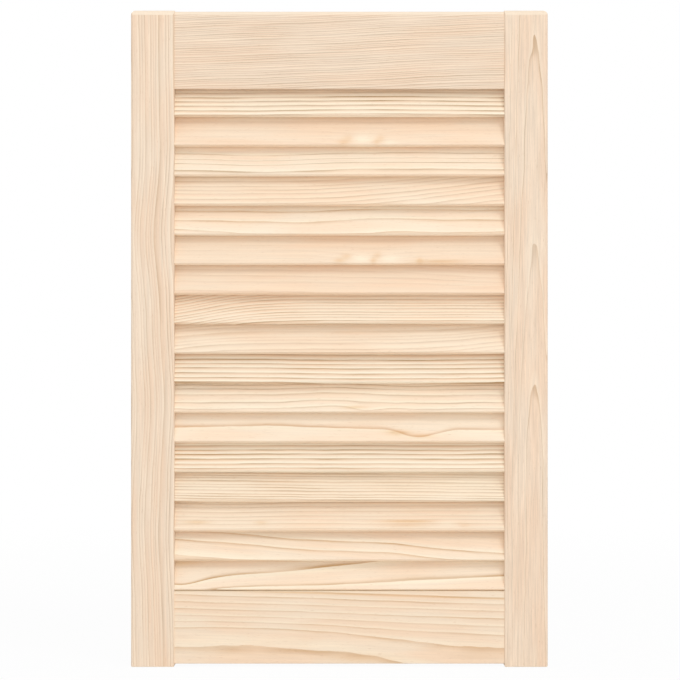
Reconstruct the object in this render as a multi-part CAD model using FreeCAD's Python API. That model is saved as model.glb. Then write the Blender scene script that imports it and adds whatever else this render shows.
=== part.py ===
import FreeCAD, Part
import math
import os

# Louvred pine cabinet door: two full-height stiles, two rails dowelled between them, and fixed sloping
# slats housed in the stiles. Millimetres. X runs across the door, the front faces -Y, +Z is up, and the
# origin is midway along the bottom edge, at the middle of the thickness.

# Door
door_width = 394.0
door_height = 620.8
door_thickness = 21.0
stile_width = 41.0
top_rail_height = 73.6
bottom_rail_height = 68.5

# Rails sit a little inside the faces and ends of the stiles
rail_setback = 1.6
top_horn = 0.8
bottom_horn = 3.0

# Louvre slats, tilted from the vertical with the front edge low
slat_thickness = 5.0
slat_tilt = 25.0
slat_inset = 1.0
slat_edge_radius = 0.8
slat_target_pitch = 28.0
slat_foot_gap = 0.15
slat_row_rise = 1.6

# Housings mortised in the stiles for the slat ends, with square corners
housing_depth = 7.0
housing_clearance = 0.12
slat_end_gap = 0.5

# Rebate along the back of the top rail, which leaves room for light and air past the uppermost slat
rebate_clearance = 5.0

# Dowels, two in each of the four corner joints
dowel_diameter = 8.0
dowel_length = 40.0
dowel_chamfer = 0.8
dowel_clearance = 0.05
dowel_end_gap = 1.0

# Roundings
top_edge_radius = 4.8
top_corner_radius = 5.0
outer_arris_radius = 2.0
inner_arris_radius = 0.8
stile_arris_radius = 1.5
foot_corner_radius = 1.5

# Levels and spans that follow from the sizes above
opening_width = door_width - 2 * stile_width
bottom_rail_base = bottom_horn
opening_base = bottom_rail_base + bottom_rail_height
top_rail_top = door_height - top_horn
opening_top = top_rail_top - top_rail_height
rail_thickness = door_thickness - 2 * rail_setback
rail_front = -rail_thickness / 2
rail_back = rail_thickness / 2

# A tilted slat is as wide as the door's thickness has room for
tilt_sine = math.sin(math.radians(slat_tilt))
tilt_cosine = math.cos(math.radians(slat_tilt))
slat_core_thickness = slat_thickness - 2 * slat_edge_radius
slat_depth = door_thickness - 2 * slat_inset
slat_core_width = (slat_depth - 2 * slat_edge_radius - slat_core_thickness * tilt_cosine) / tilt_sine
slat_width = slat_core_width + 2 * slat_edge_radius
slat_height = slat_core_width * tilt_cosine + slat_core_thickness * tilt_sine + 2 * slat_edge_radius
slat_length = opening_width + 2 * (housing_depth - slat_end_gap)

# The slats share out the opening and a little more, from one that all but rests on the bottom rail to
# one that rises behind the top rail
slat_field = opening_top + slat_row_rise - opening_base - slat_foot_gap
slat_count = round(slat_field / slat_target_pitch)
slat_pitch = slat_field / slat_count
slat_bases = [opening_base + slat_foot_gap + step * slat_pitch for step in reversed(range(slat_count))]

# The rebate starts in front of the face of the uppermost slat and ends above its top
rebate_height = max(0, slat_bases[0] + slat_height - opening_top + rebate_clearance)
slat_face_rise = opening_top - slat_bases[0] - slat_height / 2 - slat_thickness / 2 * tilt_sine
slat_face = slat_face_rise * tilt_sine / tilt_cosine - slat_thickness / 2 * tilt_cosine
rebate_front = slat_face - rebate_clearance

dowel_hole_radius = dowel_diameter / 2 + dowel_clearance
dowel_hole_depth = dowel_length / 2 + dowel_end_gap

ACROSS = FreeCAD.Vector(1, 0, 0)
THROUGH = FreeCAD.Vector(0, 1, 0)
UP = FreeCAD.Vector(0, 0, 1)


def rounded_face(corners, plane):
    """Flat face through (a, b, radius) corners, each rounded by a tangent arc, drawn on the given plane."""
    arcs = []
    for index, (a, b, radius) in enumerate(corners):
        here = FreeCAD.Vector(a, b, 0)
        before = FreeCAD.Vector(*corners[index - 1][:2], 0) - here
        after = FreeCAD.Vector(*corners[(index + 1) % len(corners)][:2], 0) - here
        before.normalize()
        after.normalize()
        half_angle = before.getAngle(after) / 2
        reach = radius / math.tan(half_angle)
        inward = (before + after).normalize()
        middle = here + inward * (radius / math.sin(half_angle) - radius)
        arcs.append((here + before * reach, middle, here + after * reach))
    edges = []
    for index, (start, middle, end) in enumerate(arcs):
        last_end = arcs[index - 1][2]
        edges.append(Part.LineSegment(plane(last_end), plane(start)).toShape())
        if corners[index][2] > 0:
            edges.append(Part.Arc(plane(start), plane(middle), plane(end)).toShape())
    return Part.Face(Part.Wire(edges))


def slat_section(x, base, radius, clearance):
    """Cross-section of a slat whose lowest point is at base, grown all round by the clearance."""
    half_thickness = slat_thickness / 2 + clearance
    half_width = slat_width / 2 + clearance
    middle = base + slat_height / 2

    def tilted(p):
        y = p.y * tilt_sine - p.x * tilt_cosine
        z = p.y * tilt_cosine + p.x * tilt_sine
        return FreeCAD.Vector(x, y, middle + z)

    return rounded_face([
        (half_thickness, -half_width, radius),
        (half_thickness, half_width, radius),
        (-half_thickness, half_width, radius),
        (-half_thickness, -half_width, radius),
    ], tilted)


def joint_heights(base, top):
    """Heights of the two dowels of a joint, a quarter and three quarters of the way up the rail's end."""
    return [base + (top - base) * quarter / 4 for quarter in (1, 3)]


rail_joints = {
    "top": joint_heights(opening_top + rebate_height, top_rail_top),
    "bottom": joint_heights(bottom_rail_base, opening_base),
}


def dowel_hole(joint_x, height):
    """Bore along X through the joint line, one hole depth into the stile and one into the rail."""
    start = FreeCAD.Vector(joint_x - dowel_hole_depth, 0, height)
    return Part.makeCylinder(dowel_hole_radius, 2 * dowel_hole_depth, start, ACROSS)


def make_left_stile():
    """Stile milled along its length, over its top and round its ends, then mortised and bored."""
    outer = -door_width / 2
    inner = -opening_width / 2
    front = -door_thickness / 2
    back = door_thickness / 2
    front_view = rounded_face([
        (outer, 0, foot_corner_radius),
        (inner, 0, foot_corner_radius),
        (inner, door_height, 0),
        (outer, door_height, top_corner_radius),
    ], lambda p: FreeCAD.Vector(p.x, front, p.y))
    side_view = rounded_face([
        (front, 0, inner_arris_radius),
        (back, 0, inner_arris_radius),
        (back, door_height, top_edge_radius),
        (front, door_height, top_edge_radius),
    ], lambda p: FreeCAD.Vector(outer, p.x, p.y))
    plan_view = rounded_face([
        (outer, front, outer_arris_radius),
        (inner, front, stile_arris_radius),
        (inner, back, stile_arris_radius),
        (outer, back, outer_arris_radius),
    ], lambda p: FreeCAD.Vector(p.x, p.y, 0))
    stile = front_view.extrude(THROUGH * door_thickness)
    stile = stile.common(side_view.extrude(ACROSS * stile_width))
    stile = stile.common(plan_view.extrude(UP * door_height))
    floor = inner - housing_depth
    housings = [
        slat_section(floor, base, 0, housing_clearance).extrude(ACROSS * housing_depth)
        for base in slat_bases
    ]
    bores = [dowel_hole(inner, height) for heights in rail_joints.values() for height in heights]
    return stile.cut(housings + bores)


def make_rail(corners, heights):
    """Rail of the given section, bored at both ends for its dowels."""
    left = -opening_width / 2
    section = rounded_face(corners, lambda p: FreeCAD.Vector(left, p.x, p.y))
    rail = section.extrude(ACROSS * opening_width)
    bores = [dowel_hole(joint_x, height) for joint_x in (left, -left) for height in heights]
    return rail.cut(bores)


def make_bottom_rail():
    return make_rail([
        (rail_front, bottom_rail_base, inner_arris_radius),
        (rail_back, bottom_rail_base, inner_arris_radius),
        (rail_back, opening_base, inner_arris_radius),
        (rail_front, opening_base, inner_arris_radius),
    ], rail_joints["bottom"])


def make_top_rail():
    """Top rail with a rounded upper edge, rebated at the back where the uppermost slat rises behind it."""
    corners = [(rail_front, opening_top, inner_arris_radius)]
    if rebate_height > 0:
        corners += [
            (rebate_front, opening_top, inner_arris_radius),
            (rebate_front, opening_top + rebate_height, 0),
            (rail_back, opening_top + rebate_height, inner_arris_radius),
        ]
    else:
        corners += [(rail_back, opening_top, inner_arris_radius)]
    corners += [
        (rail_back, top_rail_top, top_edge_radius),
        (rail_front, top_rail_top, top_edge_radius),
    ]
    return make_rail(corners, rail_joints["top"])


def make_slat(base):
    """Slat with eased edges, its ends reaching into both housings."""
    return slat_section(-slat_length / 2, base, slat_edge_radius, 0).extrude(ACROSS * slat_length)


def make_dowel(joint_x, height):
    """Chamfered dowel along X, half in the stile and half in the rail, turned about its own axis."""
    radius = dowel_diameter / 2
    half_length = dowel_length / 2
    half_section = Part.Face(Part.makePolygon([
        FreeCAD.Vector(joint_x + along, 0, height + out)
        for along, out in (
            (-half_length, 0),
            (-half_length, radius - dowel_chamfer),
            (-half_length + dowel_chamfer, radius),
            (half_length - dowel_chamfer, radius),
            (half_length, radius - dowel_chamfer),
            (half_length, 0),
            (-half_length, 0),
        )
    ]))
    return half_section.revolve(FreeCAD.Vector(joint_x, 0, height), ACROSS, 360)


left_stile = make_left_stile()
nodes = {
    "left_stile": left_stile,
    "right_stile": left_stile.mirror(FreeCAD.Vector(0, 0, 0), ACROSS),
    "top_rail": make_top_rail(),
    "bottom_rail": make_bottom_rail(),
}
for number, base in enumerate(slat_bases, start=1):
    nodes[f"slat_{number:02d}"] = make_slat(base)
for rail, heights in rail_joints.items():
    for side, joint_x in (("left", -opening_width / 2), ("right", opening_width / 2)):
        for place, height in zip(("lower", "upper"), heights):
            nodes[f"dowel_{rail}_{side}_{place}"] = make_dowel(joint_x, height)

os.makedirs("parts", exist_ok=True)
for name, shape in nodes.items():
    shape.exportStep(f"parts/{name}.step")
    print(f"{name}: {shape.Volume / 1000:.1f} cm3, valid {shape.isValid()}, {len(shape.Solids)} solid")
print(f"{slat_count} slats at {slat_pitch:.2f} mm, {slat_width:.1f} mm wide, {slat_height:.1f} mm high")
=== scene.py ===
# %% [markdown]
# # A louvred pine door
#
# This lesson dresses a small cabinet door: two upright stiles, a top and a bottom rail, and seventeen
# thin slats that slope down to the front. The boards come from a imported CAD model, so their sizes and
# joints are already right, and Blender's work is to make them look like sanded, unvarnished pine.

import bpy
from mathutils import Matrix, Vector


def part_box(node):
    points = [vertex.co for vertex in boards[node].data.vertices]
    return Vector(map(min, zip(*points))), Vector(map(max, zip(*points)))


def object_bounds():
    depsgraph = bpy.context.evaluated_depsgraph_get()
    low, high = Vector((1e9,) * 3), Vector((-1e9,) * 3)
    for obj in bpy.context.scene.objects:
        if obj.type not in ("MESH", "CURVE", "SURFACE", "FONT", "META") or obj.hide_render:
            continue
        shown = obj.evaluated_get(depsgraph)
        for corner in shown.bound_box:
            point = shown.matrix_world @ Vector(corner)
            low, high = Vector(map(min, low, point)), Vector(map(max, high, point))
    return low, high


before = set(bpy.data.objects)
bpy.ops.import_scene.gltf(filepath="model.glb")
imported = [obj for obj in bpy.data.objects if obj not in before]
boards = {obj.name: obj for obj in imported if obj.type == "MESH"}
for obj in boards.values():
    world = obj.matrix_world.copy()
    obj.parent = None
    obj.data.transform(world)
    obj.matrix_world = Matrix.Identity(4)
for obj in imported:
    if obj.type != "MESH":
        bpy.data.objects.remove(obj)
cad_low, cad_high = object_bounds()
print(f"{len(boards)} pieces, box {tuple(cad_low)} to {tuple(cad_high)}")

# %% [markdown]
# ## Small helpers for node trees
#
# The wood is made only of nodes, and most of them are sums. Nodes can be placed and linked by hand in the
# Shader Editor, but in a script each one takes several lines. A few helpers shorten that, so that a formula
# reads as a formula. A value given to a helper is either a plain number or the output of another node.

# %% Sums and groups
import bpy


def feed(tree, socket, value):
    """Links a socket to another node's output, or sets it to a plain value."""
    if isinstance(value, bpy.types.NodeSocket):
        tree.links.new(value, socket)
    else:
        socket.default_value = value


def calculate(tree, operation, *values):
    """One Math node, as an output that the next formula can use."""
    node = tree.nodes.new("ShaderNodeMath")
    node.operation = operation
    for socket, value in zip(node.inputs, values):
        feed(tree, socket, value)
    return node.outputs["Value"]


def combine(tree, operation, *vectors):
    """One Vector Math node; some operations give a vector and some a number."""
    node = tree.nodes.new("ShaderNodeVectorMath")
    node.operation = operation
    for socket, vector in zip(node.inputs, vectors):
        feed(tree, socket, vector)
    return next(output for output in node.outputs if output.enabled)


def shader_group(name, inputs, outputs):
    """An empty node group with named sockets, and its own input and output sides."""
    group = bpy.data.node_groups.new(name, "ShaderNodeTree")
    for label, kind in inputs:
        group.interface.new_socket(label, in_out="INPUT", socket_type="NodeSocket" + kind)
    for label, kind in outputs:
        group.interface.new_socket(label, in_out="OUTPUT", socket_type="NodeSocket" + kind)
    given = group.nodes.new("NodeGroupInput").outputs
    wanted = group.nodes.new("NodeGroupOutput").inputs
    return group, given, wanted


# %% [markdown]
# ## Hidden knots
#
# Where a branch starts inside the tree, the later rings have to grow round it. A board cut beside the
# knot shows no knot, only lines that swell out and come back: a dip, an arch or a small oval. A round
# hump, added to a point's distance from the pith, does the same to the rings, and a board can have
# as many humps as its figure needs.

# %% Hidden knot group
hidden_knot, given, wanted = shader_group(
    "hidden_knot",
    [("Log Position", "Vector"), ("Centre", "Vector"), ("Reach", "Vector"), ("Swell", "Float")],
    [("Push", "Float")],
)
offset = combine(hidden_knot, "SUBTRACT", given["Log Position"], given["Centre"])
offset = combine(hidden_knot, "DIVIDE", offset, given["Reach"])
closeness = calculate(hidden_knot, "MULTIPLY", combine(hidden_knot, "DOT_PRODUCT", offset, offset), -1.0)
hump = calculate(hidden_knot, "EXPONENT", closeness)
feed(hidden_knot, wanted["Push"], calculate(hidden_knot, "MULTIPLY", hump, given["Swell"]))
print(f"{hidden_knot.name}: {len(hidden_knot.nodes)} nodes")

# %% [markdown]
# ## Growth rings
#
# A board's figure is a slice through the rings of a log. Painting lines on the face would look right
# from one side only, so the rings are made in space: every point knows its distance from the pith, the
# line up the middle of the log, and the surface cuts through whatever is there. The same rings then
# run straight on a quarter-sawn face, arch on a flat-sawn one and curve on the end grain.
#
# The first step is that distance. Two slow waves and a little noise make the rings wander, as they do
# in a tree that leans and twists.

# %% Noise and waves
STRONGER_WAVE = 0.6
WEAKER_WAVE = 0.4


def streaks(tree, position, size, seed, detail=0.0):
    """Soft noise in patches of size = (along, across, across) millimetres, around 0.5."""
    noise = tree.nodes.new("ShaderNodeTexNoise")
    noise.noise_dimensions = "4D"
    noise.inputs["Scale"].default_value = 1.0
    noise.inputs["Detail"].default_value = detail
    feed(tree, noise.inputs["Vector"], combine(tree, "DIVIDE", position, size))
    feed(tree, noise.inputs["W"], seed)
    return noise.outputs["Fac"]


def two_waves(tree, stronger, weaker):
    """Two sine waves added up, so that neither shows its rhythm."""
    stronger = calculate(tree, "SINE", stronger)
    weaker = calculate(tree, "SINE", weaker)
    return calculate(tree, "MULTIPLY_ADD", stronger, STRONGER_WAVE,
                     calculate(tree, "MULTIPLY", weaker, WEAKER_WAVE))


# %% Distance from the pith
RING_INPUTS = [
    ("Log Position", "Vector"), ("Push", "Float"), ("Ring Width", "Float"), ("Line Width", "Float"),
    ("Start", "Float"), ("Wander", "Float"), ("Unevenness", "Float"), ("Seed", "Float"),
]
# millimetres of log to one radian of each wave
SLOW_WAVE = 38
QUICK_WAVE = 19
QUICK_WAVE_ACROSS = 16
# how far a board's seed shifts the quick wave
QUICK_WAVE_SHIFT = 2.3
JITTER_SIZE = (26, 9, 9)
JITTER = 0.9

growth_rings, given, wanted = shader_group(
    "growth_rings", RING_INPUTS, [("Late Wood", "Float"), ("Early Wood", "Float")])
seed = given["Seed"]
position = given["Log Position"]
axes = growth_rings.nodes.new("ShaderNodeSeparateXYZ")
feed(growth_rings, axes.inputs["Vector"], position)
distance = combine(growth_rings, "LENGTH", combine(growth_rings, "MULTIPLY", position, (0, 1, 1)))
distance = calculate(growth_rings, "ADD", distance, given["Push"])

slow = calculate(growth_rings, "MULTIPLY_ADD", axes.outputs["X"], 1 / SLOW_WAVE, seed)
quick = calculate(growth_rings, "MULTIPLY_ADD", axes.outputs["Y"], 1 / QUICK_WAVE_ACROSS,
                  calculate(growth_rings, "MULTIPLY", seed, QUICK_WAVE_SHIFT))
quick = calculate(growth_rings, "MULTIPLY_ADD", axes.outputs["X"], 1 / QUICK_WAVE, quick)
wave = two_waves(growth_rings, slow, quick)
distance = calculate(growth_rings, "MULTIPLY_ADD", wave, given["Wander"], distance)
jitter = streaks(growth_rings, position, JITTER_SIZE, seed, detail=1.0)
jitter = calculate(growth_rings, "SUBTRACT", jitter, 0.5)
distance = calculate(growth_rings, "MULTIPLY_ADD", jitter, JITTER, distance)
print(f"distance from the pith: {len(growth_rings.nodes)} nodes")

# %% [markdown]
# Dividing by the ring width counts the years. Good and bad years follow each other, so the count runs
# a little fast or slow. Its fraction is the season, from 0 in spring to 1 in autumn.

# %% Years and seasons
# radians of each wave to one year
GOOD_YEARS = 1.9
LONG_SPELLS = 0.83
LONG_SPELLS_SHIFT = 1.7

years = calculate(growth_rings, "DIVIDE", distance, given["Ring Width"])
years = calculate(growth_rings, "ADD", years, given["Start"])
good_years = calculate(growth_rings, "MULTIPLY_ADD", years, GOOD_YEARS, seed)
long_spells = calculate(growth_rings, "MULTIPLY_ADD", years, LONG_SPELLS,
                        calculate(growth_rings, "MULTIPLY", seed, LONG_SPELLS_SHIFT))
growth = two_waves(growth_rings, good_years, long_spells)
years = calculate(growth_rings, "MULTIPLY_ADD", growth, given["Unevenness"], years)
season = calculate(growth_rings, "FRACT", years)
lines_per_ring = calculate(growth_rings, "DIVIDE", given["Ring Width"], given["Line Width"])
print(f"years and seasons: {len(growth_rings.nodes)} nodes")

# %% [markdown]
# A year starts with pale early wood and ends with late wood, which darkens slowly and stops sharply where
# the next year starts. A smooth wave would make both sides of a line alike, so a colour ramp draws the
# line, from the year's end backwards.

# %% A line of late wood
LINE_PLACES = (0.0, 0.12, 0.35, 0.6, 1.0)
LINE_SHADES = (0.85, 1.0, 0.7, 0.28, 0.0)

to_year_end = calculate(growth_rings, "SUBTRACT", 1.0, season)
to_year_end = calculate(growth_rings, "MULTIPLY", to_year_end, lines_per_ring)
darkening = growth_rings.nodes.new("ShaderNodeValToRGB")
# a new ramp has stops at 0 and 1 already
stops = darkening.color_ramp.elements
for place in LINE_PLACES[1:-1]:
    stops.new(place)
for stop, dark in zip(stops, LINE_SHADES):
    stop.color = (dark, dark, dark, 1)
feed(growth_rings, darkening.inputs["Fac"], to_year_end)
print(f"a line of late wood: {len(stops)} stops")

# %% [markdown]
# Lines that are all alike look printed. On a real board each year's line has a strength of its own, and a
# line fades and returns along the board, so white noise gives every year a number and soft noise does the
# fading.

# %% Strong and faint lines
WEAKEST_YEAR = 0.45
FADE_SIZE = (55, 6, 6)
FADE_NOISE = (0.3, 0.7)
FADE = (0.6, 1.4)
EARLY_WOOD_WIDTH = 1.4


def ease(tree, value, low, high):
    """A soft step: 0 below low, 1 above high."""
    node = tree.nodes.new("ShaderNodeMapRange")
    node.interpolation_type = "SMOOTHSTEP"
    feed(tree, node.inputs["Value"], value)
    node.inputs["From Min"].default_value = low
    node.inputs["From Max"].default_value = high
    return node.outputs["Result"]


def between(tree, share, low, high):
    """A value that goes from low to high while the share goes from 0 to 1."""
    return calculate(tree, "MULTIPLY_ADD", share, high - low, low)


this_year = growth_rings.nodes.new("ShaderNodeTexWhiteNoise")
this_year.noise_dimensions = "1D"
feed(growth_rings, this_year.inputs["W"],
     calculate(growth_rings, "ADD", calculate(growth_rings, "FLOOR", years), seed))
strength = between(growth_rings, this_year.outputs["Value"], WEAKEST_YEAR, 1.0)
fade = ease(growth_rings, streaks(growth_rings, position, FADE_SIZE, seed, detail=1.0), *FADE_NOISE)
strength = calculate(growth_rings, "MULTIPLY", strength, between(growth_rings, fade, *FADE))
feed(growth_rings, wanted["Late Wood"],
     calculate(growth_rings, "MULTIPLY", darkening.outputs["Color"], strength))

from_year_start = calculate(growth_rings, "MULTIPLY", season, lines_per_ring)
early_end = ease(growth_rings, from_year_start, 0.0, EARLY_WOOD_WIDTH)
feed(growth_rings, wanted["Early Wood"], calculate(growth_rings, "SUBTRACT", 1.0, early_end))
print(f"{growth_rings.name}: {len(growth_rings.nodes)} nodes")

# %% [markdown]
# ## Fibres, resin flecks and blush
#
# Between the rings a sanded pine board is never one colour. Its fibres show as hair-fine streaks along
# the grain, resin ducts as short brown flecks, and slow patches of the wood turn pinker or yellower.
# Noise gives all three: only the size of its patches, long along the log and narrow across, differs.

# %% Fibre group
COARSE_FIBRE = (60, 1.5, 1.5)
FINE_FIBRE = (22, 0.35, 0.35)
COARSE_SHARE = 0.6
FINE_SHARE = 0.4
RESIN_DUCT = (5.0, 0.32, 0.32)
DUCT_NOISE = (0.70, 0.80)
BLUSH_SIZE = (95, 16, 16)
BLUSH_NOISE = (0.35, 0.65)

pine_fibres, given, wanted = shader_group(
    "pine_fibres",
    [("Log Position", "Vector"), ("Seed", "Float")],
    [("Fibre", "Float"), ("Fleck", "Float"), ("Blush", "Float")],
)
position, seed = given["Log Position"], given["Seed"]
coarse = streaks(pine_fibres, position, COARSE_FIBRE, seed, detail=2.0)
fine = streaks(pine_fibres, position, FINE_FIBRE, seed, detail=2.0)
feed(pine_fibres, wanted["Fibre"], calculate(
    pine_fibres, "ADD",
    calculate(pine_fibres, "MULTIPLY", coarse, COARSE_SHARE),
    calculate(pine_fibres, "MULTIPLY", fine, FINE_SHARE),
))
ducts = streaks(pine_fibres, position, RESIN_DUCT, seed)
feed(pine_fibres, wanted["Fleck"], ease(pine_fibres, ducts, *DUCT_NOISE))
blush = streaks(pine_fibres, position, BLUSH_SIZE, seed, detail=1.0)
feed(pine_fibres, wanted["Blush"], ease(pine_fibres, blush, *BLUSH_NOISE))
print(f"{pine_fibres.name}: {len(pine_fibres.nodes)} nodes")

# %% [markdown]
# ## Sanded pine
#
# The next group puts these layers together, so that a board's material needs only one node for its wood.
# Colours are chosen as a screen shows them, 0 to 255, and turned into the linear values that sockets take.

# %% Colours and layers
# the Mix node has sockets for every kind of data, and these are the ones for colours
MIX_FACTOR, MIX_FIRST, MIX_SECOND, MIX_RESULT = 0, 6, 7, 2


def paint(red, green, blue):
    """A colour as a screen shows it, 0 to 255, in the linear values that sockets take."""
    channels = [channel / 255 for channel in (red, green, blue)]
    return (*[c / 12.92 if c <= 0.04045 else ((c + 0.055) / 1.055) ** 2.4 for c in channels], 1)


def blend_colours(tree, how, factor, first, second):
    """One Mix node set to colours; how is its blend mode."""
    node = tree.nodes.new("ShaderNodeMix")
    node.data_type = "RGBA"
    node.blend_type = how
    feed(tree, node.inputs[MIX_FACTOR], factor)
    feed(tree, node.inputs[MIX_FIRST], first)
    feed(tree, node.inputs[MIX_SECOND], second)
    return node.outputs[MIX_RESULT]


def add_group(tree, group, values):
    """Places a group in a tree and feeds its sockets by name."""
    node = tree.nodes.new("ShaderNodeGroup")
    node.node_tree = group
    for label, value in values.items():
        feed(tree, node.inputs[label], value)
    return node


sanded_pine, given, wanted = shader_group(
    "sanded_pine",
    RING_INPUTS + [("End Grain", "Float"), ("Sanded Lit Edge", "Float"), ("Patch", "Float"),
                   ("Boldness", "Float"), ("Fibre Contrast", "Float"), ("Pale Wood", "Color"),
                   ("Early Wood", "Color"), ("Late Wood", "Color"), ("Patch Wood", "Color")],
    [("Color", "Color"), ("Roughness", "Float"), ("Height", "Float")],
)
rings = add_group(sanded_pine, growth_rings, {label: given[label] for label, kind in RING_INPUTS})
fibres = add_group(sanded_pine, pine_fibres, {label: given[label] for label in ("Log Position", "Seed")})
print(f"{sanded_pine.name}: layers of {rings.node_tree.name} and {fibres.node_tree.name}")

# %% [markdown]
# The late wood of each ring pulls the pale wood towards its own brown, and the early wood towards cream.
# Where an edge is rounded, sandpaper cuts across many rings at once and most of the lines go, and the
# frame's upper edges are also painted paler, a painted highlight of the light from above. A patch is a place
# that is paler or browner than the rest, for marks that no ring explains, and on some boards for painted
# light and shade.

# %% Rings and patches
BLUSH_TINT = (1.0, 0.94, 0.90, 1)
BROWN_TINT = (0.90, 0.79, 0.65, 1)
ROUNDED_END = (0.0, 0.2)
LINES_LEFT_ON_EDGES = 0.3

colour = blend_colours(sanded_pine, "MULTIPLY", fibres.outputs["Blush"], given["Pale Wood"], BLUSH_TINT)
# the frame's upper edges: sandpaper takes most of their lines, and further on they get a painted highlight
rounded = ease(sanded_pine, given["End Grain"], *ROUNDED_END)
rounded = calculate(sanded_pine, "MAXIMUM", rounded, given["Sanded Lit Edge"])
boldness = calculate(sanded_pine, "MULTIPLY", given["Boldness"],
                     between(sanded_pine, rounded, 1.0, LINES_LEFT_ON_EDGES))
early_wood = calculate(sanded_pine, "MULTIPLY", rings.outputs["Early Wood"], boldness)
colour = blend_colours(sanded_pine, "MIX", early_wood, colour, given["Early Wood"])
late_wood = calculate(sanded_pine, "MULTIPLY", rings.outputs["Late Wood"], boldness)
colour = blend_colours(sanded_pine, "MIX", late_wood, colour, given["Late Wood"])

pale_patch = calculate(sanded_pine, "MAXIMUM", given["Patch"], 0.0)
colour = blend_colours(sanded_pine, "MIX", pale_patch, colour, given["Patch Wood"])
brown_patch = calculate(sanded_pine, "MULTIPLY", given["Patch"], -1.0)
brown_patch = calculate(sanded_pine, "MAXIMUM", brown_patch, 0.0)
colour = blend_colours(sanded_pine, "MULTIPLY", brown_patch, colour, BROWN_TINT)
print(f"rings and patches: {len(sanded_pine.nodes)} nodes")

# %% [markdown]
# Fibres and flecks shade the colour, and where the face looks along the log, on the end grain, the open
# pores drink the light. Late wood is harder, so sandpaper leaves it a little proud and a little shinier,
# and that goes into the height and the roughness.

# %% Fibres, end grain and surface
RESIN_TINT = (0.66, 0.50, 0.36, 1)
RESIN_STRENGTH = 0.35
# how far the frame's upper edges are painted paler, a painted highlight of the light from above
EDGE_HIGHLIGHT = 0.7
END_GRAIN_TINT = (0.90, 0.83, 0.74, 1)
END_GRAIN_FACING = (0.93, 1.0)
EARLY_ROUGHNESS = 0.66
LATE_ROUGHNESS = 0.54
FIBRE_ROUGHNESS = 0.12
LATE_HEIGHT = 0.6
FIBRE_HEIGHT = 0.6

shade = calculate(sanded_pine, "SUBTRACT", fibres.outputs["Fibre"], 0.5)
shade = calculate(sanded_pine, "MULTIPLY_ADD", shade, given["Fibre Contrast"], 1.0)
tint = sanded_pine.nodes.new("ShaderNodeCombineColor")
for channel in tint.inputs:
    feed(sanded_pine, channel, shade)
colour = blend_colours(sanded_pine, "MULTIPLY", 1.0, colour, tint.outputs["Color"])
fleck = calculate(sanded_pine, "MULTIPLY", fibres.outputs["Fleck"], RESIN_STRENGTH)
colour = blend_colours(sanded_pine, "MULTIPLY", fleck, colour, RESIN_TINT)
# painted highlight: the frame's upper edges are pulled towards the early wood's colour for the light from
# above
painted_edge_highlight = calculate(sanded_pine, "MULTIPLY", rounded, EDGE_HIGHLIGHT)
colour = blend_colours(sanded_pine, "MIX", painted_edge_highlight, colour, given["Early Wood"])
end_grain = ease(sanded_pine, given["End Grain"], *END_GRAIN_FACING)
colour = blend_colours(sanded_pine, "MULTIPLY", end_grain, colour, END_GRAIN_TINT)
feed(sanded_pine, wanted["Color"], colour)

gloss = between(sanded_pine, late_wood, EARLY_ROUGHNESS, LATE_ROUGHNESS)
feed(sanded_pine, wanted["Roughness"],
     calculate(sanded_pine, "MULTIPLY_ADD", fibres.outputs["Fibre"], FIBRE_ROUGHNESS, gloss))
feed(sanded_pine, wanted["Height"], calculate(
    sanded_pine, "ADD",
    calculate(sanded_pine, "MULTIPLY", late_wood, LATE_HEIGHT),
    calculate(sanded_pine, "MULTIPLY", fibres.outputs["Fibre"], FIBRE_HEIGHT),
))
print(f"{sanded_pine.name}: {len(sanded_pine.nodes)} nodes")

# %% [markdown]
# ## Cutting a board from its log
#
# Every board gets a log of its own, so that no two faces match. A Mapping node of type Texture lays the
# log in the door: its location is a point on the pith, its rotation turns the log's length along the
# board, and its scale makes the units millimetres. A pith far to one side gives straight lines, one
# close behind the face gives arches, and a lean makes the lines run out of the edge.

# %% Lay a log in the door
from mathutils import Matrix, Vector

MM = 0.001
ACROSS_DOOR = Vector((1, 0, 0))
UP_DOOR = Vector((0, 0, 1))
FRONT = Vector((0, -1, 0))


def lay_log(name, along, face, pith, lean):
    """A point on the pith of the named board's log, and the log's turn."""
    low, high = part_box(name)
    across = face.cross(along)
    pith_point = (low + high) / 2 + across * pith[0] * MM - face * pith[1] * MM
    log_axis = (along + across * lean[0] * MM - face * lean[1] * MM).normalized()
    log_up = (across - log_axis * across.dot(log_axis)).normalized()
    log_turn = Matrix((log_axis, log_up, log_axis.cross(log_up))).transposed()
    return pith_point, log_turn.to_euler()


def start_wood(name, pith_point=(0, 0, 0), log_turn=(0, 0, 0)):
    """A new material, its texture coordinates, and the place in the log in millimetres."""
    material = bpy.data.materials.new(name)
    material.use_nodes = True
    tree = material.node_tree
    where = tree.nodes.new("ShaderNodeTexCoord")
    log = tree.nodes.new("ShaderNodeMapping")
    log.vector_type = "TEXTURE"
    log.inputs["Location"].default_value = pith_point
    log.inputs["Rotation"].default_value = log_turn
    log.inputs["Scale"].default_value = (MM, MM, MM)
    feed(tree, log.inputs["Vector"], where.outputs["Object"])
    return material, where, log.outputs["Vector"]


# %% [markdown]
# A knot's place is measured on the board, from its middle, because that is where one sees it. The rings
# live in the log, so the place moves there first. All the humps of a board are added up, and its pale and
# brown patches are humps too, of colour.

# %% Knots and patches of a board
KNOT_DEPTH = 60


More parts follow.
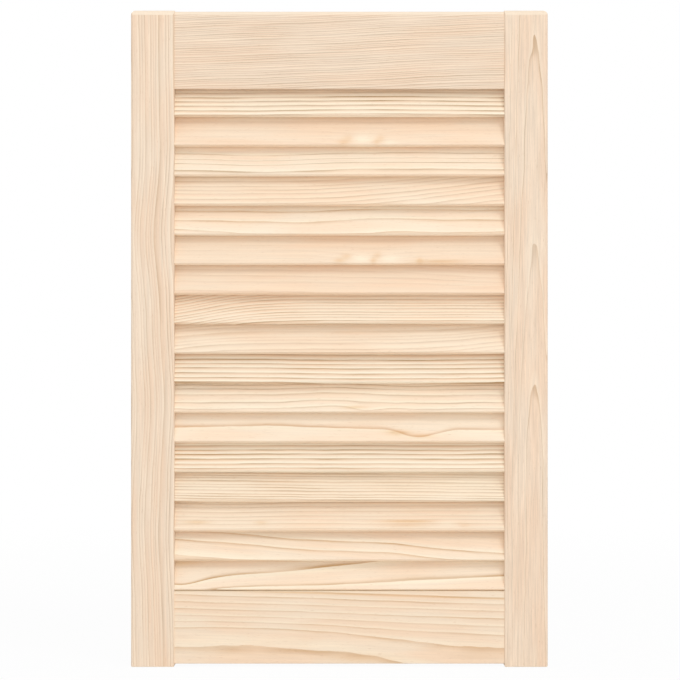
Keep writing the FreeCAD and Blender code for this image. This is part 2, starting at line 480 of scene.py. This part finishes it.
def humps(tree, log_position, places, pith, lean):
    """The sum of the humps at (along, across, swell, reach along, reach across) in a board."""
    total = 0.0
    for place, height, swell, reach, spread in places:
        hump = add_group(tree, hidden_knot, {
            "Log Position": log_position,
            "Centre": (place, height - pith[0] - place * lean[0] * MM, pith[1]),
            "Reach": (reach, spread, KNOT_DEPTH),
            "Swell": swell,
        })
        total = calculate(tree, "ADD", hump.outputs["Push"], total)
    return total


# %% [markdown]
# A board's figure is chosen in a joiner's words: where the pith lies, how wide the rings and their lines
# are, how bold they look, and where knots and patches sit. One function takes those words and makes the
# material. Moving the pith by a few millimetres, or adding a knot, then changes the whole figure at once,
# as choosing another board would.

# %% Cut a board
LATE_PINE = paint(178, 141, 94)
EARLY_PINE = paint(255, 243, 219)
RELIEF = 0.05 * MM
BARE_WOOD_SHINE = 0.3
UPPER_EDGE = (0.1, 0.6)


def dress(name, material):
    """Puts a material on the named piece."""
    for slot in boards[name].material_slots:
        slot.material = material


def cut_board(name, along, face, *, pith, rings, line, start, wander, bold, pale, seed, lean=(0, 0),
              uneven=0.2, knots=(), patches=(), fibre=0.26, early=EARLY_PINE, late=LATE_PINE, patch=None):
    """Gives the named piece a pine of its own.

    along and face are the directions of the board's length and of its front face. pith is how far the
    pith lies from the board's middle, across the face and behind it, and lean how far it strays in each
    direction over a metre. rings and line are the widths of a ring and of its late wood. start moves the
    rings by part of a year, wander bends them and uneven makes some years wider. bold and fibre say how
    strongly lines and fibres show, and pale, early and late are the colours of the wood.

    A hidden knot is its place along and across, its swell, and its reach along and across. A patch has
    the same five numbers, with a strength for the swell: above 0 it is paler there, in the colour called
    patch or else in that of the early wood, and below 0 it is browner. Millimetres.
    """
    material, where, log_position = start_wood("pine_" + name, *lay_log(name, along, face, pith, lean))
    tree = material.node_tree
    facing = combine(tree, "DOT_PRODUCT", where.outputs["Normal"], along)
    pine = add_group(tree, sanded_pine, {
        "Log Position": log_position, "End Grain": calculate(tree, "ABSOLUTE", facing),
        "Push": humps(tree, log_position, knots, pith, lean),
        "Patch": humps(tree, log_position, patches, pith, lean),
        "Ring Width": rings, "Line Width": line, "Start": start, "Wander": wander, "Unevenness": uneven,
        "Boldness": bold, "Fibre Contrast": fibre, "Pale Wood": pale, "Early Wood": early,
        "Late Wood": late, "Patch Wood": patch or early, "Seed": seed,
    })
    # upper edges of the frame: sandpaper takes most of their lines, and a painted highlight makes them paler
    if face == FRONT:
        upward = combine(tree, "DOT_PRODUCT", where.outputs["Normal"], UP_DOOR)
        feed(tree, pine.inputs["Sanded Lit Edge"], ease(tree, upward, *UPPER_EDGE))

    relief = tree.nodes.new("ShaderNodeBump")
    relief.inputs["Strength"].default_value = 1.0
    relief.inputs["Distance"].default_value = RELIEF
    feed(tree, relief.inputs["Height"], pine.outputs["Height"])
    surface = tree.nodes["Principled BSDF"]
    surface.inputs["Specular IOR Level"].default_value = BARE_WOOD_SHINE
    feed(tree, surface.inputs["Base Color"], pine.outputs["Color"])
    feed(tree, surface.inputs["Roughness"], pine.outputs["Roughness"])
    feed(tree, surface.inputs["Normal"], relief.outputs["Normal"])
    dress(name, material)


# %% [markdown]
# ## The frame of the door
#
# The stiles run the full height, so their logs stand upright; the rails' logs lie across. Good frame
# stock is straight and quiet, with fine lines. Only the right stile shows arches, three of them one above
# the other: its log leans, so going up the face the saw leaves one ring after the other. A thin brown
# strip along the bottom rail stands for the shadow line on its upper edge.

# %% Stiles and rails
GOLDEN_PINE = paint(192, 142, 74)

cut_board("left_stile", UP_DOOR, FRONT, pith=(-90, 40), lean=(6, 0), rings=3.2, line=1.25, start=0.2,
          wander=0.8, uneven=0.6,
          knots=[(98, 10, -4.5, 50, 40), (-60, 5, 2.5, 45, 40), (-190, 0, -2.5, 40, 40)],
          bold=0.44, fibre=0.45, pale=paint(241, 220, 197), early=paint(252, 236, 214), seed=2.7)
cut_board("right_stile", UP_DOOR, FRONT, pith=(-8, 9.5), lean=(0, 20), rings=4.0, line=0.5, start=0.58,
          wander=0.15, uneven=0.0, knots=[(-85, 11, -2.0, 90, 200)],
          bold=0.46, fibre=0.75, pale=paint(239, 218, 195), early=paint(248, 231, 208), seed=15.8)
cut_board("top_rail", ACROSS_DOOR, FRONT, pith=(-110, 40), lean=(40, 0), rings=1.9, line=0.75, start=0.2,
          wander=0.6, uneven=0.3,
          bold=0.62, fibre=0.5, pale=paint(238, 216, 193), early=paint(252, 236, 213), seed=8.4)
cut_board("bottom_rail", ACROSS_DOOR, FRONT, pith=(-47, 68), lean=(-31, 0), rings=4.4, line=1.5, start=0.78,
          wander=0.2, uneven=0.0, knots=[(-85, -4, -4.6, 130, 12), (133, -33, 3.9, 79, 14.5)],
          patches=[(0, 31.8, -1.0, 400, 1.1), (20, -29, -0.7, 28, 4)],
          bold=0.43, pale=paint(245, 225, 201), early=paint(254, 241, 217), late=GOLDEN_PINE, seed=11.9)
print("stiles and rails cut")

# %% [markdown]
# ## The slats
#
# Seventeen thin slats come from many different boards, and that is what makes a louvred door lively:
# a slat with bold straight lines lies next to a plain one with a single arch. One material with random
# values for all of them would be shorter, but chance gives many alike. So each row below is one slat, from
# the top down, with the words for its figure. Its number for cream says how far its pale wood goes from
# rosy to creamy. Late wood is brown in close rings and turns golden or amber in wide ones.

# %% Upper slats
import math

SLAT_TILT = math.radians(25)
SLAT_FACE = Vector((0, -math.cos(SLAT_TILT), math.sin(SLAT_TILT)))
ROSY_PINE = Vector(paint(246, 221, 194))
CREAM_PINE = Vector(paint(252, 235, 212))
# pale wood painted into the top rail's shadow on the first slat, painted light that lightens that shadow
PAINTED_LIGHT_PINE = paint(252, 226, 196)


def cut_slats(first, cuts):
    """Cuts the slats of a list, numbered from the top of the door."""
    for number, cut in enumerate(cuts, start=first):
        pale = ROSY_PINE.lerp(CREAM_PINE, cut.pop("cream"))
        cut_board(f"slat_{number:02d}", ACROSS_DOOR, SLAT_FACE, pale=pale, **cut)
    print(f"slats {first} to {first + len(cuts) - 1} cut")


cut_slats(1, [
    # bold straight lines, and a plain pale band painted along the top in the rail's shadow, painted light
    dict(pith=(-150, 30), rings=4.55, line=2.38, start=0.95, wander=0.25, uneven=0.1, bold=0.77, cream=0.7,
         seed=48.1, knots=[(40, 0, -1.2, 110, 90)],
         patches=[(0, 10.5, 1.2, 400, 3.5)], patch=PAINTED_LIGHT_PINE),
    # plain, with a pale spot between two rosy ones and a faint arch over them; the spots are painted sheen
    # and painted shade, where fibres around a hidden knot lean towards and away from the light
    dict(pith=(-150, 40), rings=5.0, line=3.0, start=0.3, wander=0.3, bold=0.07, cream=0.35, seed=27.4,
         knots=[(23, -22, 6, 40, 22)],
         patches=[(4, -15, -0.7, 5, 3), (9, -10.5, -0.6, 5, 3.5), (22, -12, 0.6, 10, 5),
                  (35, -15, -0.7, 3.5, 3), (39, -11, -0.6, 4, 3.5), (48, -15, 0.4, 7, 3)]),
    # pairs of lines with a wide pale band between
    dict(pith=(-55, 60), rings=6.4, line=1.50, start=0.59, wander=0.3, uneven=0.9, bold=0.64, cream=0.9,
         seed=31.1, knots=[(-70, 0, 1.6, 60, 60), (55, 0, -0.8, 60, 60)]),
    # lines that rise to the right, one of them strong
    dict(pith=(-70, 60), rings=3.4, line=1.6, start=0.94, wander=0.3, uneven=0.2, bold=0.36, cream=0.45,
         seed=34.8, knots=[(200, 0, -16, 130, 90)]),
    # wide bands
    dict(pith=(-40, 60), rings=5.2, line=1.50, start=0.0, wander=0.3, uneven=0.1, bold=0.54, cream=0.9,
         late=GOLDEN_PINE, seed=38.5,
         knots=[(-60, 0, 1.0, 60, 60), (45, 0, -1.2, 60, 60), (-160, -18, -1.4, 50, 12),
                (20, -18, 1.5, 140, 9)]),
    # plain, with small rosy and pale strokes low on the face, painted sheen and painted shade where fibres
    # around a hidden knot lean towards and away from the light
    dict(pith=(-150, 40), rings=5.5, line=3.0, start=0.2, wander=0.2, bold=0.08, cream=0.26, seed=42.2,
         knots=[(30, -20, 6, 45, 22)],
         patches=[(0, -15, -0.8, 5, 2.5), (7, -10.5, -0.7, 5, 3), (20, -13, 0.6, 9, 4),
                  (32, -15, -0.9, 3, 3), (36, -10, -0.7, 4, 3.5), (48, -13, 0.6, 9, 4),
                  (76, -15, -0.9, 3, 3), (95, -16, -0.9, 22, 2)]),
])

# %% [markdown]
# In the middle of the door most lines run close and quiet. A knot with a large swell near one end fans them
# out or lifts them there, and a small one makes a step or a lens. Bold lines look crisp where the early
# wood is almost white, and a single wide ring looks best in amber.

# %% Middle slats
WHITE_PINE = paint(255, 246, 224)
AMBER_PINE = paint(200, 141, 73)

cut_slats(7, [
    # plain and pink
    dict(pith=(-40, 90), lean=(-6, 0), rings=2.6, line=1.2, start=0.2, wander=0.2, bold=0.16, cream=0.2,
         seed=45.9, knots=[(170, 16, 6, 90, 22)]),
    # close lines that fan out at the left
    dict(pith=(-80, 30), rings=2.9, line=1.3, start=0.1, wander=0.2, bold=0.76, cream=0.2, seed=49.6,
         knots=[(-180, 0, 16, 70, 80)]),
    # faint lines, curved at the left and rising at the right end
    dict(pith=(-60, 60), rings=3.0, line=1.75, start=0.1, wander=0.3, uneven=0.4, bold=0.26, cream=0.5,
         seed=53.3, knots=[(-175, 0, 5, 50, 80), (175, 0, -6, 60, 80)]),
    # bold straight lines
    dict(pith=(-150, 20), rings=4.7, line=2.38, start=0.3, wander=0.25, uneven=0.1, bold=0.8, cream=0.3,
         early=WHITE_PINE, seed=57.0, knots=[(40, 0, 1.6, 140, 90)]),
    # thin lines with a step and a lens
    dict(pith=(-45, 70), rings=3.3, line=1.25, start=0.3, wander=0.2, uneven=0.3, bold=0.61, cream=0.95,
         seed=60.7, knots=[(-15, -4, -1.1, 34, 22), (25, -15, 1.0, 14, 5), (75, 6, 0.7, 40, 16)],
         patches=[(14, -13.5, -0.9, 11, 1.6)]),
    # one wavy line with a dip
    dict(pith=(40, 110), lean=(-8, 0), rings=11.0, line=1.6, start=-0.02, wander=0.2, uneven=0.0,
         bold=0.46, cream=0.9, late=AMBER_PINE, seed=64.4,
         knots=[(76, -8, -3.2, 20, 40), (-70, 0, 0.9, 50, 60)],
         patches=[(56, -9, -1.2, 11, 2.5), (78, -12.5, -0.9, 12, 2.2)]),
])

# %% [markdown]
# The lowest slats are the liveliest. Two of them show only one or two rings, very wide, and their lean lets
# the lines climb or fall along the whole face, with knots to bend them into waves.

# %% Lower slats
cut_slats(13, [
    # bold straight lines
    dict(pith=(-150, 25), rings=4.6, line=2.38, start=0.0, wander=0.3, uneven=0.1, bold=0.87, cream=0.3,
         early=WHITE_PINE, seed=68.1),
    # close, quiet lines
    dict(pith=(-110, 30), lean=(-10, 0), rings=2.9, line=1.75, start=0.1, wander=0.3, bold=0.6,
         cream=0.65, seed=71.8, patches=[(110, 0, 0.25, 60, 30)]),
    # plain, with a brown streak and faint ovals low on the face
    dict(pith=(-150, 40), rings=4.2, line=1.8, start=0.4, wander=0.3, bold=0.4, cream=0.4, seed=75.5,
         knots=[(-100, 10, 2.0, 60, 20)],
         patches=[(65, -9, -1.2, 24, 1.3), (66, -13, -0.5, 20, 2.5), (104, -11, 0.4, 12, 4),
                  (111, -10.5, -0.4, 7, 1.3), (118, -13, -0.4, 5, 2.5), (-135, -10, -0.8, 12, 2),
                  (-74, -10.5, -0.6, 6, 2.5)]),
    # two bold waves that fall to the right
    dict(pith=(-70, 60), lean=(-80, 0), rings=12.0, line=3.6, start=-0.33, wander=0.3, uneven=0.75,
         bold=0.6, cream=0.65, late=GOLDEN_PINE, seed=5.1,
         knots=[(-50, -5, 1.0, 35, 40), (48, -5, -1.4, 28, 40)],
         patches=[(-150, -12, 0.4, 70, 6)]),
    # one bold line that rises over a soft band
    dict(pith=(60, 67.5), lean=(35, 0), rings=13.0, line=3.4, start=-1.82, wander=0.2, uneven=0.28,
         bold=0.68, cream=0.84, late=GOLDEN_PINE, seed=2.1,
         knots=[(-153, -12, -5, 21, 50), (-148, -6, -5, 50, 12), (0, -10, -2.2, 90, 12),
                (-75, 2, -1.8, 45, 12), (70, 8, 4.0, 55, 12)],
         patches=[(-150, 9, -0.8, 16, 3)]),
])

# %% [markdown]
# ## The dowels
#
# Inside each corner joint two chamfered beech dowels hold rail and stile together. They are hidden in the
# finished door, but a door that is taken apart shows them, so they get their own wood: beech is darker
# and pinker than pine, with no clear rings and many short, fine flecks along the grain. The fibre group
# gives both, so it is used again, with other colours.

# %% Beech dowels
DARK_BEECH = paint(196, 152, 116)
PALE_BEECH = paint(233, 197, 160)
BEECH_FLECK_TINT = (0.62, 0.48, 0.38, 1)
BEECH_ROUGHNESS = (0.45, 0.65)
BEECH_SEED = 4.4

beech, _, stick_position = start_wood("beech_dowel")
tree = beech.node_tree
beech_fibres = add_group(tree, pine_fibres, {"Log Position": stick_position, "Seed": BEECH_SEED})
beech_colour = blend_colours(tree, "MIX", beech_fibres.outputs["Fibre"], DARK_BEECH, PALE_BEECH)
beech_colour = blend_colours(tree, "MULTIPLY", beech_fibres.outputs["Fleck"], beech_colour, BEECH_FLECK_TINT)
surface = tree.nodes["Principled BSDF"]
feed(tree, surface.inputs["Base Color"], beech_colour)
feed(tree, surface.inputs["Roughness"], between(tree, beech_fibres.outputs["Fibre"], *BEECH_ROUGHNESS))
dowels = [name for name in boards if name.startswith("dowel")]
for name in dowels:
    dress(name, beech)
print(f"{len(dowels)} dowels in beech")

# %% [markdown]
# ## Floor
#
# The door stands on a pale floor that fades into the white around it. More light would also make a grey
# floor white, but it would bleach the door. So to the camera the floor is mostly white paper with the soft
# shadow left in, and every other ray meets plain matt paint, so that the light it throws back on the door
# is honest.

# %% Floor sheet
import bmesh

FLOOR_HALF = 12.0

sheet = bmesh.new()
bmesh.ops.create_grid(sheet, x_segments=1, y_segments=1, size=FLOOR_HALF)
floor_mesh = bpy.data.meshes.new("floor")
sheet.to_mesh(floor_mesh)
sheet.free()
floor = bpy.data.objects.new("floor", floor_mesh)
bpy.context.scene.collection.objects.link(floor)
print(f"floor {2 * FLOOR_HALF:.0f} m wide")

# %% Floor paint
FLOOR_PAINT = (0.88, 0.88, 0.88, 1)
# metres from the door between which the floor turns fully white
FADE_OUT = (0.5, 2.2)
NEAR_WHITENESS = 0.95


def seen_directly(tree):
    """1 for rays that show the background: from the camera, or by way of a mirror or glass."""
    path = tree.nodes.new("ShaderNodeLightPath")
    seen = calculate(tree, "MAXIMUM", path.outputs["Is Camera Ray"], path.outputs["Is Glossy Ray"])
    return calculate(tree, "MAXIMUM", seen, path.outputs["Is Transmission Ray"])


floor_paint = bpy.data.materials.new("pale_floor")
floor_paint.use_nodes = True
tree = floor_paint.node_tree
where = tree.nodes.new("ShaderNodeTexCoord")
from_door = combine(tree, "LENGTH", where.outputs["Object"])
whiteness = between(tree, ease(tree, from_door, *FADE_OUT), NEAR_WHITENESS, 1.0)
paper = tree.nodes.new("ShaderNodeEmission")
matt = tree.nodes["Principled BSDF"]
matt.inputs["Base Color"].default_value = FLOOR_PAINT
matt.inputs["Roughness"].default_value = 1.0
matt.inputs["Specular IOR Level"].default_value = 0.0
mixed = tree.nodes.new("ShaderNodeMixShader")
feed(tree, mixed.inputs["Fac"], calculate(tree, "MULTIPLY", seen_directly(tree), whiteness))
feed(tree, mixed.inputs[1], matt.outputs["BSDF"])
feed(tree, mixed.inputs[2], paper.outputs["Emission"])
feed(tree, tree.nodes["Material Output"].inputs["Surface"], mixed.outputs["Shader"])
floor_mesh.materials.append(floor_paint)
print(f"floor in {floor_paint.name}")

# %% [markdown]
# ## Light
#
# A door like this is photographed in a white room with three soft lamps. The room gives more than half of
# the light. A lamp high on the right draws the shadow under each slat, one nearly overhead brightens the
# edges that look up, and a wide one in front, as low as the camera, reaches in under the slats and keeps
# their shadows pale. One strong lamp would be simpler, but its shadows would be hard and black.

# %% White room
ROOM_LIGHT = 0.665

room = bpy.data.worlds.new("white_room")
room.use_nodes = True
tree = room.node_tree
walls = tree.nodes["Background"]
walls.inputs["Color"].default_value = (1, 1, 1, 1)
feed(tree, walls.inputs["Strength"], between(tree, seen_directly(tree), ROOM_LIGHT, 1.0))
bpy.context.scene.world = room
print(f"{room.name} gives {ROOM_LIGHT} and shows as white")

# %% Soft lamps
LAMP_DISTANCE = 5.0

door_middle = (cad_low + cad_high) / 2


def hang_lamp(name, power, width, side, height):
    """A round soft lamp aimed at the door's middle; side and height are angles in degrees."""
    aim = Matrix.Rotation(math.radians(side), 3, "Z") @ Matrix.Rotation(math.radians(-height), 3, "X")
    towards_lamp = aim @ FRONT
    data = bpy.data.lights.new(name, "AREA")
    data.shape = "DISK"
    data.size = width
    data.energy = power
    lamp = bpy.data.objects.new(name, data)
    lamp.location = door_middle + towards_lamp * LAMP_DISTANCE
    lamp.rotation_euler = towards_lamp.to_track_quat("Z", "Y").to_euler()
    bpy.context.scene.collection.objects.link(lamp)
    print(f"{name} at {tuple(round(c, 2) for c in lamp.location)}")


hang_lamp("high_lamp", power=48.0, width=1.5, side=29, height=41)
hang_lamp("overhead_lamp", power=15.0, width=1.6, side=0, height=75)
hang_lamp("front_lamp", power=39.0, width=2.0, side=0, height=5)

# %% [markdown]
# ## Camera
#
# The photograph was taken square to the door from well back, so a long lens on a level camera gives the
# same view. The picture is 680 pixels wide and shows a little over 640 mm at the front of the stiles.

# %% Camera
PICTURE_WIDTH = 642.6 * MM
CAMERA_DISTANCE = 2.65
AIM = Vector((0.57 * MM, cad_low.y, 309.05 * MM))

camera_data = bpy.data.cameras.new("camera")
camera_data.lens = camera_data.sensor_width * CAMERA_DISTANCE / PICTURE_WIDTH
camera = bpy.data.objects.new("camera", camera_data)
camera.location = AIM + FRONT * CAMERA_DISTANCE
camera.rotation_euler = (math.radians(90), 0, 0)
bpy.context.scene.collection.objects.link(camera)
bpy.context.scene.camera = camera
bpy.context.scene.view_settings.view_transform = "Standard"
print(f"lens {camera_data.lens:.0f} mm")
